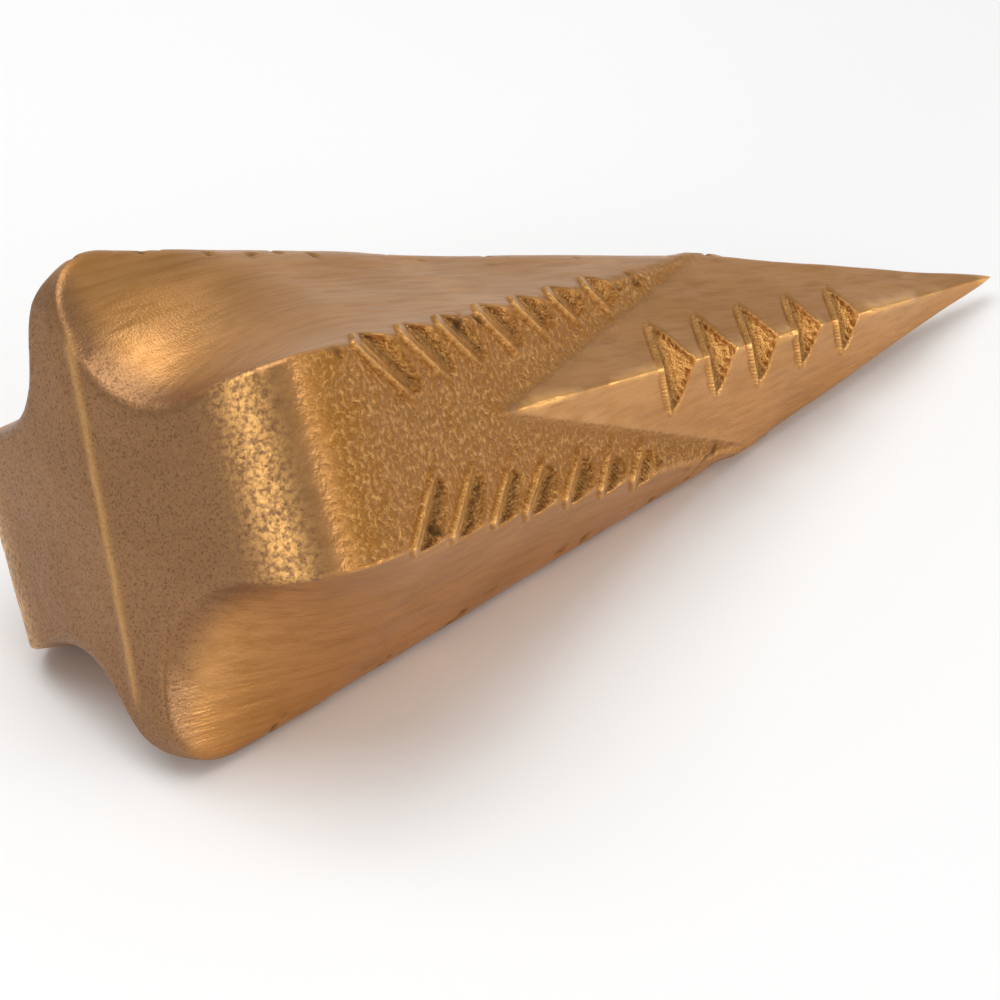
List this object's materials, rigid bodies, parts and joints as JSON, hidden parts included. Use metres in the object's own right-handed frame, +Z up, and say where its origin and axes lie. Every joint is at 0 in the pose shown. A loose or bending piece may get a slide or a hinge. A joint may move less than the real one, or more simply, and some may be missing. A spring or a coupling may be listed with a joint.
{
  "type": "splitting wedge",
  "caption": "Forged steel log-splitting wedge: diamond point widening to a fluted body with flat cheeks, V notches along its edges and ridges, and a crowned striking end, in gold lacquer.",
  "frame": {"origin": "on the floor under the middle of the wedge's box, with the wedge lying on one of its four flutes", "axes": "+X from the striking end towards the tip, +Z up, +Y to the left of the way that the tip points"},
  "size_m": [0.1922, 0.073, 0.062],
  "materials": {
    "gold_lacquer": "satin"
  },
  "bodies": {
    "root": {"wedge_forging": "gold_lacquer"}
  },
  "joints": []
}
